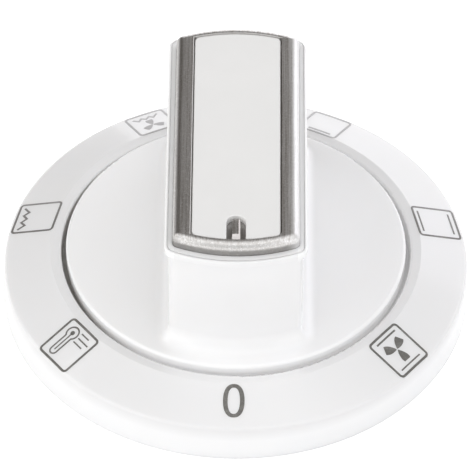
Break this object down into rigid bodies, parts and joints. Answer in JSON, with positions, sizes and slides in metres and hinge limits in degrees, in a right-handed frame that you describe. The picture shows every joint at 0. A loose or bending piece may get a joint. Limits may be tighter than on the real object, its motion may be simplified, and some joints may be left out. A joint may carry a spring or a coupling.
{
  "type": "oven selector knob",
  "caption": "White oven selector knob with a bar grip, silver trim and grey cover plate, turning in a fixed dial ring with function signs.",
  "frame": {"origin": "centre of the dial ring's rear face, which seats on the panel", "axes": "+Z along the turning axis, away from the panel; the zero position and the pointer face -Y; +X to the right seen from the zero side"},
  "size_m": [0.06, 0.06, 0.0275],
  "materials": {
    "white_plastic": "gloss white moulding",
    "ring_plastic": "gloss white moulding with dark grey print",
    "silver_trim": "satin plated plastic",
    "grey_plate": "matt pale grey",
    "spring_steel": "bright spring steel"
  },
  "bodies": {
    "ring": {"dial_ring": "ring_plastic"},
    "knob": {"knob_body": "white_plastic", "grip_trim": "silver_trim", "top_insert": "grey_plate", "hub_spring": "spring_steel"}
  },
  "joints": [
    {"name": "selector_turn", "type": "hinge", "parent": "ring", "child": "knob", "pos_m": [0, 0, 0], "axis": [0, 0, 1], "continuous": true}
  ]
}
